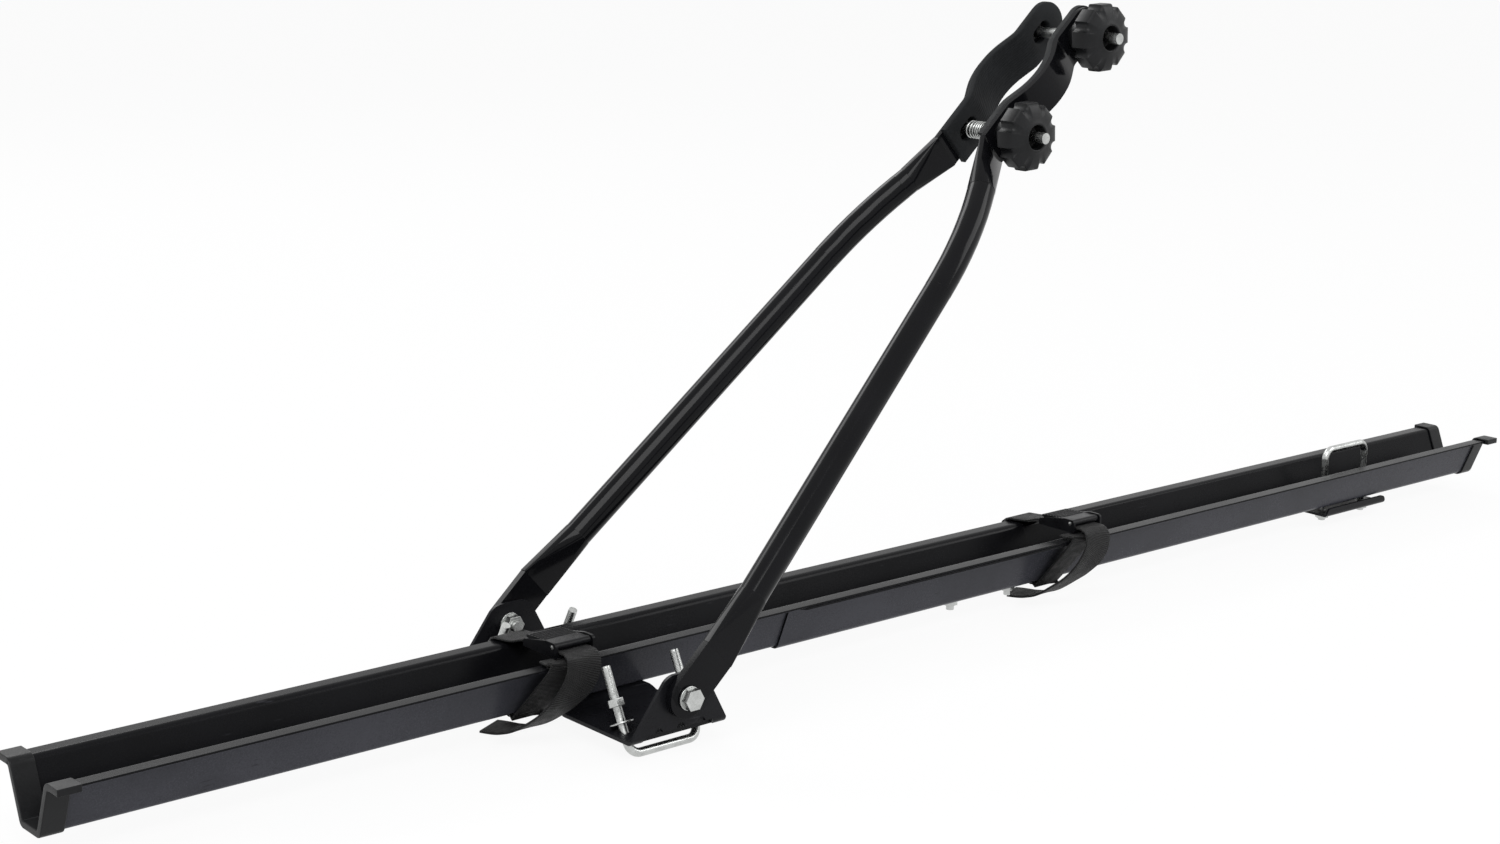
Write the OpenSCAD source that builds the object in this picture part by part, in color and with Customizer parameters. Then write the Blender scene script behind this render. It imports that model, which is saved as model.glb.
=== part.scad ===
// Roof bike carrier: a two-piece wheel channel on a folded bracket, with a folding upright of two
// bent tubes that ends in a padded frame clamp, and U-bolts that hold it on two roof bars.
// X runs along the channel, Y across it and Z up. The origin is the centre of the front roof-bar seat,
// on the underside of the bracket.

/* [Channel] */
// Length of the whole channel
channel_len = 1400; // [1350:10:1450]
// Length of the front piece, which lies inside the rear one
front_piece_len = 838; // [820:1:860]
// Length of the rear piece
rear_piece_len = 851; // [830:1:870]
// Distance from the front end of the channel to the middle of the bracket
bracket_from_end = 393; // [380:1:405]
// Thickness of the channel's sheet
sheet_t = 1.5; // [1.2:0.1:1.6]
// Height of each channel piece
tray_h = 34.8; // [33:0.1:36]
// Half width over the lips of the front piece
lip_half = 35.3; // [34:0.1:37]
// Half width at the top of the walls, at the sharp corner
wall_half = 23.9; // [23:0.1:25]
// Half width of the floor, at the sharp corner
floor_half = 10.9; // [10:0.1:12]
// Gap between the two nested pieces
nest_gap = 0.2; // [0.1:0.05:0.3]
// Depth of each end cap along the channel
cap_depth = 15; // [12:1:20]

/* [Bracket] */
// Size of the bracket along the channel
bracket_len = 77.4; // [76:0.2:80]
// Distance from the middle to the outer face of each ear
ear_face = 96.2; // [94:0.2:98]
// Thickness of the bracket's plate
plate_t = 2.5; // [2:0.1:3]
// Height of the pressed step under the channel
step_h = 2.4; // [2:0.1:3]
// Height of the arm pivots
pivot_z = 26; // [25:0.5:27]
// Place of the arm pivots along the channel
pivot_x = 1.9; // [0:0.1:4]

/* [Arms] */
// Angle of the arms above the channel
arm_angle = 42.3; // [40:0.1:45]
// Outer diameter of the arm tube
tube_d = 20; // [19:0.5:21]
// Wall of the arm tube
tube_wall = 1.5; // [1.2:0.1:2]
// Distance along the arm from the pivot to the bend
bend_at = 390; // [386:1:394]
// Distance from the middle of the channel to each arm at the bend
bend_half = 55.8; // [55:0.2:57]
// Distance along the arm from the pivot to the lower clamp bolt
clamp_at = 488; // [486:1:490]
// Distance between the two clamp bolts
clamp_pitch = 100.5; // [99:0.5:102]
// Distance from the middle of the channel to the middle of the far jaw's metal
far_jaw_y = 25.3; // [25:0.1:26]
// Distance from the middle of the channel to the middle of the near jaw's metal
near_jaw_y = -16.2; // [-16.5:0.1:-15.5]
// Width of the jaws
jaw_w = 28; // [27:0.5:29]
// Depth of the jaws' curve at the sharp corner
jaw_bulge = 16.5; // [15.5:0.5:17]
// Thickness of the rubber pads
pad_t = 5; // [4.5:0.5:5]

/* [Knobs] */
// Diameter of the star knobs over the lobes
knob_d = 50; // [48:1:52]
// Thickness of the star
knob_t = 18; // [16:1:19]
// Number of lobes
knob_lobes = 8; // [7:1:9]

/* [Fasteners] */
// Diameter of the U-bolt rod
rod_d = 6; // [6:0.1:6.2]
// Distance between the legs of a U-bolt
leg_pitch = 56; // [55:0.5:57]
// Length of a U-bolt leg from the middle of the bar
leg_len = 58.3; // [57:0.1:60]
// Lean of the two loose U-bolts towards the channel
lean = 27; // [25:0.5:29]
// Distance from the middle to the bars of the loose U-bolts
bar_half = 81.2; // [80.5:0.1:82]
// Height of the bars of the loose U-bolts
bar_z = -11.5; // [-12.5:0.5:-11]
// Place of the rear U-bolt along the channel
rear_u_x = 832; // [825:1:840]

/* [Straps] */
// Width of the webbing
web_w = 25; // [24:0.5:26]
// Thickness of the webbing
web_t = 1.6; // [1.4:0.1:1.8]
// Place of the front strap along the channel
front_strap_x = -60; // [-62:0.5:-58]
// Place of the rear strap along the channel
rear_strap_x = 433; // [428:1:436]

/* [Hidden] */
$fn = 64;
eps = 0.01;
front_x = -bracket_from_end;
rear_x = front_x + channel_len;
nest = sheet_t + nest_gap;
floor_z = plate_t + step_h;
lip_z = floor_z + tray_h;
wall_slope = atan((wall_half - floor_half) / (tray_h - sheet_t));
top_bend = 4.5;
floor_bend = 3;
foot_t = 5;
foot_r = 14;
foot_gap = 0.8;
foot_y = ear_face + foot_gap + foot_t / 2;
foot_flat = 35;
foot_taper = 80;
jaw_t = 4;
arc_from = 505;
arc_to = 571;
round_to = 434;
lap = 0.3;
bend_swell = 0.2;
jaw_end = clamp_at + clamp_pitch + jaw_w / 2 + 9.5;
upper_at = clamp_at + clamp_pitch;
near_flat_from = 472;
near_pad_from = 474;
far_flat_from = 464;
far_pad_w = 34;
pad_end = jaw_end + 1.5;
m8_d = 8;
m8_af = 13;
m8_head = 5.3;
m8_nut = 6.5;
m8_washer_d = 16;
m8_washer_t = 1.6;
m6_af = 10;
m6_nut = 5;
m6_washer_d = 16;
m6_washer_t = 1.2;
running = 0.05;
knob_back = near_jaw_y - jaw_t / 2 - m8_washer_t - 0.6;
boss_len = 11.6;
boss_d = 26;
insert_d = 12;
recess_d = 18;
lobe_turn = 5.7;
recess_depth = 10;
bolt_tip_y = knob_back - boss_len - knob_t - 8;
joint_bolt_x = [342, 404.7];
bracket_bolt_x = [-30, 30];
rear_u_bar_z = 50;
rear_leg_len = 62;
saddle_len = 84;
saddle_t = 2;
saddle_low = -5;
saddle_high = 2.5;

// Bent strips

// Unit vector to the left of a heading
function left_of(h) = [-sin(h), cos(h)];
function heading(a, b) = atan2(b.y - a.y, b.x - a.x);
function turn(h0, h1) = let (d = h1 - h0) d > 180 ? d - 360 : d < -180 ? d + 360 : d;

// Points and headings round the bend of radius r at corner b
function bend(a, b, c, r, n = 8) =
    let (h0 = heading(a, b), t = turn(h0, heading(b, c)), s = sign(t))
    let (centre = b - r * tan(abs(t) / 2) * [cos(h0), sin(h0)] + s * r * left_of(h0))
    [for (i = [0:n]) let (h = h0 + t * i / n) [centre - s * r * left_of(h), h]];

// Middle line through corners p with bend radii r
function strip_path(p, r) = let (e = len(p) - 1) concat(
    [[p[0], heading(p[0], p[1])]],
    [for (i = [1:e - 1]) each bend(p[i - 1], p[i], p[i + 1], r[i - 1])],
    [[p[e], heading(p[e - 1], p[e])]]);
function strip_side(path, off) = [for (q = path) q[0] + off * left_of(q[1])];
function reversed(v) = [for (i = [len(v) - 1:-1:0]) v[i]];

// Closed outline with rounded corners
function rounded(p, r) = let (n = len(p))
    [for (i = [0:n - 1]) for (q = bend(p[(i + n - 1) % n], p[i], p[(i + 1) % n], r[i])) q[0]];

// Strip of sheet between two offsets from its middle line
module strip(p, r, from, to) {
    path = strip_path(p, r);
    polygon(concat(strip_side(path, to), reversed(strip_side(path, from))));
}

// Extrudes a section drawn in Y and Z along X
module along_x(from, to) {
    translate([from, 0, 0])
        rotate([90, 0, 90])
        linear_extrude(to - from) children();
}

// Extrudes an outline drawn in X and Z along Y
module along_y(from, to) {
    translate([0, to, 0])
        rotate([90, 0, 0])
        linear_extrude(to - from) children();
}

// Round bar or bore along Y
module bar_y(d, from, to) {
    translate([0, to, 0])
        rotate([90, 0, 0])
        cylinder(d = d, h = to - from);
}

// Hexagon along Y, for heads and nuts
module hex_y(af, from, to) {
    translate([0, to, 0])
        rotate([90, 0, 0])
        cylinder(d = af / cos(30), h = to - from, $fn = 6);
}

module washer(outer, inner, t) {
    difference() {
        cylinder(d = outer, h = t);
        translate([0, 0, -1]) cylinder(d = inner, h = t + 2);
    }
}

module hex_nut(af, bore, h) {
    difference() {
        cylinder(d = af / cos(30), h = h, $fn = 6);
        translate([0, 0, -1]) cylinder(d = bore, h = h + 2);
    }
}

// Wheel channel

// Corners and radii of the channel's section. grow moves the sheet outwards by that much, and wider
// adds to the lips.
function tray_corners(grow, wider) =
    let (out = grow / cos(wall_slope) - grow * tan(wall_slope))
    let (top = floor_z + tray_h - sheet_t / 2 - grow, low = floor_z + sheet_t / 2 - grow)
    [[-lip_half - wider, top], [-wall_half - out, top], [-floor_half - out, low],
     [floor_half + out, low], [wall_half + out, top], [lip_half + wider, top]];
function tray_radii(grow) =
    [top_bend - grow, floor_bend + grow, floor_bend + grow, top_bend - grow];

module tray_section(grow, wider, half_t) {
    strip(tray_corners(grow, wider), tray_radii(grow), -half_t, half_t);
}

module floor_holes(places) {
    for (x = places)
        translate([x, 0, 0]) cylinder(d = rod_d + 0.6, h = 2 * floor_z + 4);
}

module front_channel() {
    color([0.06, 0.06, 0.07])
    difference() {
        along_x(front_x, front_x + front_piece_len) tray_section(0, 0, sheet_t / 2);
        floor_holes(concat(bracket_bolt_x, joint_bolt_x));
    }
}

module rear_channel() {
    lip_chamfer = 12;
    color([0.06, 0.06, 0.07])
    difference() {
        along_x(rear_x - rear_piece_len, rear_x) tray_section(nest, 0.6, sheet_t / 2);
        floor_holes(concat(joint_bolt_x, [rear_u_x - leg_pitch / 2, rear_u_x + leg_pitch / 2]));
        for (side = [-1, 1])
            translate([rear_x - rear_piece_len, side * (lip_half + 0.6), lip_z])
            rotate([0, 0, 45])
            cube([lip_chamfer, lip_chamfer, 12], center = true);
    }
}

// End caps grip the sheet's end from both sides and reach past its lips
module end_cap(end_x, inwards, grow, wider) {
    skin = 1.5;
    lip_reach = 3.5;
    end_t = 2;
    outer_x = end_x - inwards * end_t;
    inner_x = outer_x + inwards * cap_depth;
    color([0.05, 0.05, 0.05])
    difference() {
        along_x(min(outer_x, inner_x), max(outer_x, inner_x))
            tray_section(grow, wider + lip_reach, sheet_t / 2 + skin);
        along_x(min(end_x, inner_x + inwards), max(end_x, inner_x + inwards))
            tray_section(grow, wider + eps, sheet_t / 2);
    }
}

module front_end_cap() {
    end_cap(front_x, 1, 0, 0);
}

module rear_end_cap() {
    end_cap(rear_x, -1, nest, 0.6);
}

// Base bracket

// The plate steps up under the channel and folds up into an ear at each side
module bracket_section() {
    mid = plate_t / 2;
    face = ear_face - mid;
    strip([[-face, 44], [-face, mid], [-24, mid], [-17, mid + step_h], [17, mid + step_h],
           [24, mid], [face, mid], [face, 44]],
          [3, 4, 4, 4, 4, 3], -mid, mid);
}

// Side view of the bracket: the plate with the sloping, round-topped ear
module ear_outline() {
    half = bracket_len / 2;
    top = pivot_z + 15;
    polygon(rounded([[-half, -1], [half, -1], [half, 4], [pivot_x + 17, top], [pivot_x - 12, top],
                     [-half, 3.5]],
                    [0.5, 0.5, 1.5, 12, 12, 1.5]));
}

// Window at the foot of an ear, with three round notches in its upper edge
module ear_window() {
    polygon([[-31, -2], [31, -2], [27, 4.6], [-27, 4.8]]);
    for (x = [-17, 1, 18])
        translate([x, 4.6]) circle(r = 3.3);
}

module base_bracket() {
    slot_y = bar_half - (plate_t / 2 - bar_z) * tan(lean);
    slot_len = rod_d / cos(lean) + plate_t * tan(lean) + 1.6;
    color([0.07, 0.07, 0.075])
    difference() {
        intersection() {
            along_x(-bracket_len / 2, bracket_len / 2) bracket_section();
            along_y(-ear_face - 1, ear_face + 1) ear_outline();
        }
        for (side = [-1, 1]) {
            along_y(side * ear_face - 4.5, side * ear_face + 4.5) ear_window();
            for (end = [-1, 1])
                translate([end * leg_pitch / 2, side * slot_y, plate_t / 2])
                cube([rod_d + 1.4, slot_len, plate_t + 2], center = true);
        }
        translate([pivot_x, 0, pivot_z]) bar_y(m8_d + 2 * running, -ear_face - 2, ear_face + 2);
        floor_holes(bracket_bolt_x);
    }
}

// Bolts with round heads on the channel's floor, and their nuts below
module floor_bolts(places, length) {
    for (x = places)
        translate([x, 0, floor_z + sheet_t])
        rotate([180, 0, 0]) {
            translate([0, 0, -1]) cylinder(d = rod_d, h = length + 1);
            translate([0, 0, -3])
                rotate_extrude()
                polygon([[0, 0], [4, 0], [6, 1.6], [6.5, 3], [0, 3]]);
        }
}

module bracket_bolts() {
    color([0.75, 0.75, 0.72]) floor_bolts(bracket_bolt_x, 14);
}

module bracket_nuts() {
    color([0.75, 0.75, 0.72])
    for (x = bracket_bolt_x)
        translate([x, 0, step_h - m6_nut]) hex_nut(m6_af, rod_d, m6_nut);
}

module joint_bolts() {
    color([0.75, 0.75, 0.72]) floor_bolts(joint_bolt_x, 12);
}

module joint_nuts() {
    color([0.75, 0.75, 0.72])
    for (x = joint_bolt_x)
        translate([x, 0, floor_z - nest - m6_nut]) hex_nut(m6_af, rod_d, m6_nut);
}

// Arms

// Arm frame: X runs from the pivots towards the clamp, Y across, Z square to the jaws
module in_arm_frame() {
    translate([pivot_x, 0, pivot_z])
        rotate([0, -arm_angle, 0]) children();
}

module tube_run(a, b, d) {
    translate([a.x, a.y, 0])
        rotate([0, 90, heading(a, b)])
        cylinder(d = d, h = norm(b - a));
}

module tube_bend(a, b, c, r, d) {
    h0 = heading(a, b);
    t = turn(h0, heading(b, c));
    start = b - r * tan(abs(t) / 2) * [cos(h0), sin(h0)];
    centre = start + sign(t) * r * left_of(h0);
    translate([centre.x, centre.y, 0])
        rotate([0, 0, h0 - sign(t) * 90 + min(t, 0)])
        rotate_extrude(angle = abs(t))
        translate([r, 0]) circle(d = d);
}

// Point that lies the given distance from a towards b
function towards(a, b, distance) = a + distance * (b - a) / norm(b - a);

// Corners of a jaw's middle line. side is -1 for the near arm and 1 for the far one.
function jaw_corners(y, side, from, to) =
    [[from, y], [arc_from, y], [(arc_from + arc_to) / 2, y + side * jaw_bulge], [arc_to, y], [to, y]];
jaw_radii = [12, 50, 12];

// Outline of a jaw seen square to its flats: a strip with a round upper end
module jaw_outline(from, to, w) {
    translate([from, -w / 2]) square([to - from - w / 2, w]);
    translate([to - w / 2, 0]) circle(d = w);
}

module jaw_strip(y, side, from, to, w, low, high) {
    intersection() {
        linear_extrude(w, center = true)
            strip(jaw_corners(y, side, from, to), jaw_radii, low, high);
        along_y(y - 60, y + 60) jaw_outline(from, to, w);
    }
}

// Taper between the round tube and a flattened end. Its ends stand a little proud of both.
module taper(round_from, round_to, flat, t, w) {
    proud = 0.3;
    hull() {
        tube_run(round_from, round_to, tube_d + proud + 0.1, $fn = 32);
        translate([flat.x, flat.y, 0]) cube([2 * lap, t + proud, w + proud], center = true);
    }
}

// Arm of a tube that is pressed flat at its foot and for its jaw. side is -1 for the near arm and 1 for
// the far one, play the clearance round the pivot bolt, slot the extra length of the clamp holes.
module arm(side, jaw_y, flat_from, play, slot) {
    bend_r = 290;
    a = [foot_flat, side * foot_y];
    b = [bend_at, side * bend_half];
    c = [flat_from, jaw_y];
    trim = bend_r * tan(abs(turn(heading(a, b), heading(b, c))) / 2);
    low_from = foot_taper - foot_flat;
    low_to = towards(b, a, trim - lap);
    top_from = towards(b, c, trim - lap);
    top_end = (round_to - bend_at) / cos(heading(b, c));
    color([0.03, 0.03, 0.035])
    in_arm_frame()
    difference() {
        union() {
            along_y(side * foot_y - foot_t / 2, side * foot_y + foot_t / 2) {
                circle(r = foot_r);
                translate([0, -foot_r]) square([foot_flat, 2 * foot_r]);
            }
            taper(towards(a, b, low_from), towards(a, b, low_from + 2 * lap),
                  a, foot_t, 2 * foot_r);
            tube_run(towards(a, b, low_from + lap), low_to, tube_d);
            tube_bend(a, b, c, bend_r, tube_d + bend_swell);
            tube_run(top_from, towards(b, c, top_end - lap), tube_d);
            taper(towards(b, c, top_end - 2 * lap), towards(b, c, top_end), c, jaw_t, jaw_w);
            jaw_strip(jaw_y, side, flat_from, jaw_end, jaw_w, -jaw_t / 2, jaw_t / 2);
        }
        arm_core(a, b, c, low_from, low_to, top_from, top_end, bend_r);
        bar_y(m8_d + 2 * play, side * foot_y - foot_t, side * foot_y + foot_t);
        for (x = [clamp_at, upper_at])
            translate([x, jaw_y + 8, 0])
            rotate([90, 0, 0])
            linear_extrude(16)
            slot_outline(m8_d + 1, slot);
    }
}

// Hollow of the round stretch
module arm_core(a, b, c, low_from, low_to, top_from, top_end, bend_r) {
    bore = tube_d - 2 * tube_wall;
    tube_run(towards(a, b, low_from + 3), low_to, bore);
    tube_bend(a, b, c, bend_r, bore + bend_swell);
    tube_run(top_from, towards(b, c, top_end - 3), bore);
}

// Round hole drawn out by the given extra length
module slot_outline(d, extra) {
    for (end = [-1, 1])
        translate([end * extra / 2, 0]) circle(d = d);
    if (extra > 0)
        square([extra, d], center = true);
}

module near_arm() {
    arm(-1, near_jaw_y, near_flat_from, 0.15, 5);
}

module far_arm() {
    arm(1, far_jaw_y, far_flat_from, running, 0);
}

// Rubber pad along the inside of a jaw, with square lower and round upper end
module jaw_pad(y, side, from, w) {
    near_face = jaw_t / 2 + 0.05;
    low = side < 0 ? near_face : -near_face - pad_t;
    color([0.05, 0.05, 0.055])
    in_arm_frame()
    difference() {
        jaw_strip(y, side, from, pad_end, w, low, low + pad_t);
        for (x = [clamp_at, upper_at])
            translate([x, y + 12, 0])
            rotate([90, 0, 0])
            linear_extrude(24)
            slot_outline(m8_d + 3.5, 8);
    }
}

module near_jaw_pad() {
    jaw_pad(near_jaw_y, -1, near_pad_from, jaw_w);
}

module far_jaw_pad() {
    jaw_pad(far_jaw_y, 1, far_flat_from + 6, far_pad_w);
}

// Clamp fasteners

module clamp_bolt(at) {
    seat = far_jaw_y + jaw_t / 2;
    color([0.75, 0.75, 0.72])
    in_arm_frame()
    translate([at, 0, 0]) {
        bar_y(m8_d, bolt_tip_y, seat + eps);
        hex_y(m8_af, seat, seat + m8_nut);
        translate([0, seat + m8_nut - eps, 0])
            rotate([-90, 0, 0])
            rotate_extrude()
            polygon([[0, 0], [6.2, 0], [6.2, 1], [5.6, 3.2], [4.2, 5], [2.2, 6], [0, 6.3]]);
    }
}

module lower_clamp_bolt() {
    clamp_bolt(clamp_at);
}

module upper_clamp_bolt() {
    clamp_bolt(upper_at);
}

// Coil spring on the lower bolt between the pads
module clamp_spring() {
    wire = 1.5;
    mean_r = 5.9;
    turns = 9;
    sides = 8;
    steps = 16 * turns;
    y0 = near_jaw_y + jaw_t / 2 + pad_t + wire / 2 + 0.4;
    y1 = far_jaw_y - jaw_t / 2 - pad_t - wire / 2 - 0.4;
    points = [for (i = [0:steps]) for (k = [0:sides - 1])
        let (a = 360 * turns * i / steps, b = 360 * k / sides)
        let (r = mean_r + wire / 2 * cos(b))
        [r * cos(a), y0 + (y1 - y0) * i / steps + wire / 2 * sin(b), r * sin(a)]];
    around = [for (i = [0:steps - 1]) for (k = [0:sides - 1])
        let (n = (k + 1) % sides, p = i * sides)
        [p + k, p + sides + k, p + sides + n, p + n]];
    ends = [[for (k = [0:sides - 1]) k], [for (k = [sides - 1:-1:0]) steps * sides + k]];
    color([0.8, 0.8, 0.78])
    in_arm_frame()
    translate([clamp_at, 0, 0])
    polyhedron(points, concat(around, ends));
}

// Star knob on a bore along Y, its face towards -Y
module star_knob(at) {
    back = knob_back - boss_len;
    front = back - knob_t;
    scallop_r = 4.2;
    color([0.05, 0.05, 0.055])
    in_arm_frame()
    translate([at, 0, 0])
    difference() {
        union() {
            bar_y(boss_d, back - 1, knob_back);
            intersection() {
                translate([0, back, 0])
                    rotate([90, 0, 0])
                    rotate_extrude()
                    polygon([[0, 0], [knob_d / 2 - 1, 0], [knob_d / 2 + 0.6, 1.6],
                             [knob_d / 2 + 0.6, knob_t - 6], [knob_d / 2 - 1.5, knob_t - 3.5],
                             [knob_d / 2 - 9, knob_t - 1], [recess_d / 2 + 1, knob_t],
                             [0, knob_t]]);
                rotate([0, 180 / knob_lobes - lobe_turn, 0])
                    translate([0, back + 1, 0])
                    rotate([90, 0, 0])
                    cylinder(d = (knob_d - 1.4) / cos(180 / knob_lobes), h = knob_t + 2,
                             $fn = knob_lobes);
            }
        }
        for (i = [0:knob_lobes - 1])
            rotate([0, 360 * (i + 0.5) / knob_lobes - lobe_turn, 0])
            translate([knob_d / 2 + scallop_r - 3, 0, 0])
            bar_y(2 * scallop_r, front - 1, back + 1);
        bar_y(recess_d, front - 1, front + recess_depth);
        bar_y(insert_d, front + recess_depth - 1, knob_back + 1);
    }
}

module lower_knob() {
    star_knob(clamp_at);
}

module upper_knob() {
    star_knob(upper_at);
}

// Threaded bush pressed into a knob
module knob_insert(at) {
    color([0.75, 0.75, 0.72])
    in_arm_frame()
    translate([at, 0, 0])
    difference() {
        bar_y(insert_d, knob_back - boss_len - knob_t + recess_depth + 1, knob_back - 0.3);
        bar_y(m8_d + 2 * running, bolt_tip_y, knob_back + 1);
    }
}

module lower_knob_insert() {
    knob_insert(clamp_at);
}

module upper_knob_insert() {
    knob_insert(upper_at);
}

module knob_washer(at) {
    color([0.75, 0.75, 0.72])
    in_arm_frame()
    translate([at, knob_back + 0.1 + m8_washer_t, 0])
    rotate([90, 0, 0])
    washer(m8_washer_d + 4, m8_d + 2 * running, m8_washer_t);
}

module lower_knob_washer() {
    knob_washer(clamp_at);
}

module upper_knob_washer() {
    knob_washer(upper_at);
}

// Pivot fasteners

outer_washer_y = foot_y + foot_t / 2 + 0.45;
inner_washer_y = ear_face - plate_t - m8_washer_t;

module at_pivots() {
    for (side = [0, 1])
        mirror([0, side, 0])
        translate([pivot_x, 0, pivot_z]) children();
}

module pivot_bolts() {
    seat = outer_washer_y + m8_washer_t;
    color([0.78, 0.78, 0.75])
    at_pivots() {
        bar_y(m8_d, inner_washer_y - m8_nut - 3, seat + eps);
        hex_y(m8_af, seat, seat + m8_head);
    }
}

module pivot_washers() {
    color([0.78, 0.78, 0.75])
    at_pivots()
    for (y = [outer_washer_y, inner_washer_y])
        translate([0, y + m8_washer_t, 0])
        rotate([90, 0, 0])
        washer(m8_washer_d, m8_d + 2 * running, m8_washer_t);
}

module pivot_nuts() {
    color([0.78, 0.78, 0.75])
    at_pivots()
    translate([0, inner_washer_y, 0])
    rotate([90, 0, 0])
    hex_nut(m8_af, m8_d, m8_nut);
}

// U-bolts

// Bar along X through the origin, legs of the given length towards +Z
module u_bolt(length) {
    r = 8;
    half = leg_pitch / 2;
    translate([-half + r, 0, 0]) rotate([0, 90, 0]) cylinder(d = rod_d, h = leg_pitch - 2 * r);
    for (side = [0, 1])
        mirror([side, 0, 0]) {
            translate([half, 0, r]) cylinder(d = rod_d, h = length - r);
            translate([half - r, 0, r])
                rotate([90, 0, 0])
                rotate([0, 0, -90])
                rotate_extrude(angle = 90)
                translate([r, 0]) circle(d = rod_d);
        }
}

// Frame of a loose U-bolt. side is -1 for the near one and 1 for the far one.
module in_roof_u_frame(side) {
    translate([0, side * bar_half, bar_z])
        rotate([side * lean, 0, 0]) children();
}

module near_roof_u_bolt() {
    color([0.8, 0.8, 0.78]) in_roof_u_frame(-1) u_bolt(leg_len);
}

module far_roof_u_bolt() {
    color([0.8, 0.8, 0.78]) in_roof_u_frame(1) u_bolt(leg_len);
}

module on_roof_legs(height) {
    for (side = [-1, 1])
        in_roof_u_frame(side)
        for (end = [-1, 1])
            translate([end * leg_pitch / 2, 0, height]) children();
}

module roof_u_bolt_washers() {
    rest = (plate_t - bar_z + m6_washer_d / 2 * sin(lean)) / cos(lean) + 0.3;
    color([0.8, 0.8, 0.78])
    on_roof_legs(rest) washer(m6_washer_d, rod_d + 2 * running, m6_washer_t);
}

module roof_u_bolt_nuts() {
    color([0.8, 0.8, 0.78])
    on_roof_legs(31.6) hex_nut(m6_af, rod_d, m6_nut);
}

module rear_u_bolt() {
    color([0.8, 0.8, 0.78])
    translate([rear_u_x, 0, rear_u_bar_z])
    rotate([180, 0, 0]) u_bolt(rear_leg_len);
}

// Pressed plate under the channel that clamps the rear roof bar, with a raised flange along each side
module rear_clamp_plate() {
    half_w = 15;
    mid = saddle_low + saddle_t / 2;
    color([0.06, 0.06, 0.065])
    difference() {
        intersection() {
            along_x(rear_u_x - saddle_len / 2, rear_u_x + saddle_len / 2)
                strip([[-half_w, saddle_high + 2], [-half_w, mid], [half_w, mid],
                       [half_w, saddle_high + 2]],
                      [2.5, 2.5], -saddle_t / 2, saddle_t / 2);
            translate([rear_u_x, 0, 0])
                along_y(-half_w - 3, half_w + 3)
                polygon(rounded([[-saddle_len / 2, -9], [saddle_len / 2, -9],
                                 [saddle_len / 2, saddle_high], [-saddle_len / 2, saddle_high]],
                                [1, 1, 5, 5]));
        }
        for (end = [-1, 1])
            translate([rear_u_x + end * leg_pitch / 2, 0, -8]) cylinder(d = rod_d + 0.6, h = 20);
    }
}

module rear_u_bolt_nuts() {
    color([0.8, 0.8, 0.78])
    for (end = [-1, 1])
        translate([rear_u_x + end * leg_pitch / 2, 0, -10])
        hex_nut(m6_af, rod_d, m6_nut);
}

// Straps

// Middle line of the webbing as [x, y, z]: from the buckle's bar over the near lip, round the channel,
// back across its top through the buckle, and on as a loose tail. under is how far the floor lies below
// that of the front piece.
function strap_route(under) = [
    [14, -26, 41.6], [13, -35.6, 41.4], [12, -37.8, 39.4], [11, -37, 36.6], [1, -15, 5.4 - under],
    [1, -11.5, 3.6 - under], [6.5, 11.5, 3.6 - under], [8, 15, 5.4 - under], [20, 37, 36.6],
    [20, 37.8, 39.4], [20, 35.6, 41.4], [22, 20, 42.6], [25, 4, 46.2], [26, -30, 46.4],
    [25, -38.5, 45.6], [23, -44, 41.5], [19, -46.5, 33], [12, -45, 23], [6, -39, 13], [2, -29, 4],
    [-3, -18, -3 - under / 2], [-9, -7, -6.2 - under / 2], [-16, 7, -6.8 - under / 2]];

module webbing(route) {
    for (i = [0:len(route) - 2])
        hull() {
            translate(route[i]) rotate([0, 90, 0]) cylinder(d = web_t, h = web_w, center = true, $fn = 8);
            translate(route[i + 1])
                rotate([0, 90, 0])
                cylinder(d = web_t, h = web_w, center = true, $fn = 8);
        }
}

module front_strap() {
    color([0.04, 0.04, 0.04])
    translate([front_strap_x, 0, 0]) webbing(strap_route(0));
}

module rear_strap() {
    color([0.04, 0.04, 0.04])
    translate([rear_strap_x, 0, 0]) webbing(strap_route(nest));
}

buckle_shift = 26;
buckle_y = -13;
buckle_z = 43.4;
buckle_len = 36;
buckle_w = 32;
lever_pin_d = 3;
lever_pin_at = [-27, 50.2];

module at_buckle(strap_x) {
    translate([strap_x + buckle_shift, 0, 0]) children();
}

// Cam buckle: a base with two cheeks
module buckle(strap_x) {
    cheek_t = 2;
    color([0.08, 0.08, 0.085])
    at_buckle(strap_x)
    difference() {
        union() {
            translate([0, buckle_y, buckle_z + 0.6])
                cube([buckle_w, buckle_len, 1.2], center = true);
            for (side = [-1, 1])
                along_x(side * (buckle_w - cheek_t) / 2 - cheek_t / 2,
                        side * (buckle_w - cheek_t) / 2 + cheek_t / 2)
                polygon(rounded([[buckle_y - buckle_len / 2, buckle_z],
                                 [buckle_y + buckle_len / 2, buckle_z],
                                 [buckle_y + buckle_len / 2, buckle_z + 5],
                                 [lever_pin_at.x + 6, lever_pin_at.y + 3.2],
                                 [lever_pin_at.x - 4, lever_pin_at.y + 3.2]],
                                [0.5, 0.5, 2, 3, 3]));
        }
        lever_bore(0);
    }
}

module lever_bore(play) {
    translate([-buckle_w, lever_pin_at.x, lever_pin_at.y])
        rotate([0, 90, 0])
        cylinder(d = lever_pin_d + 2 * play, h = 2 * buckle_w);
}

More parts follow.
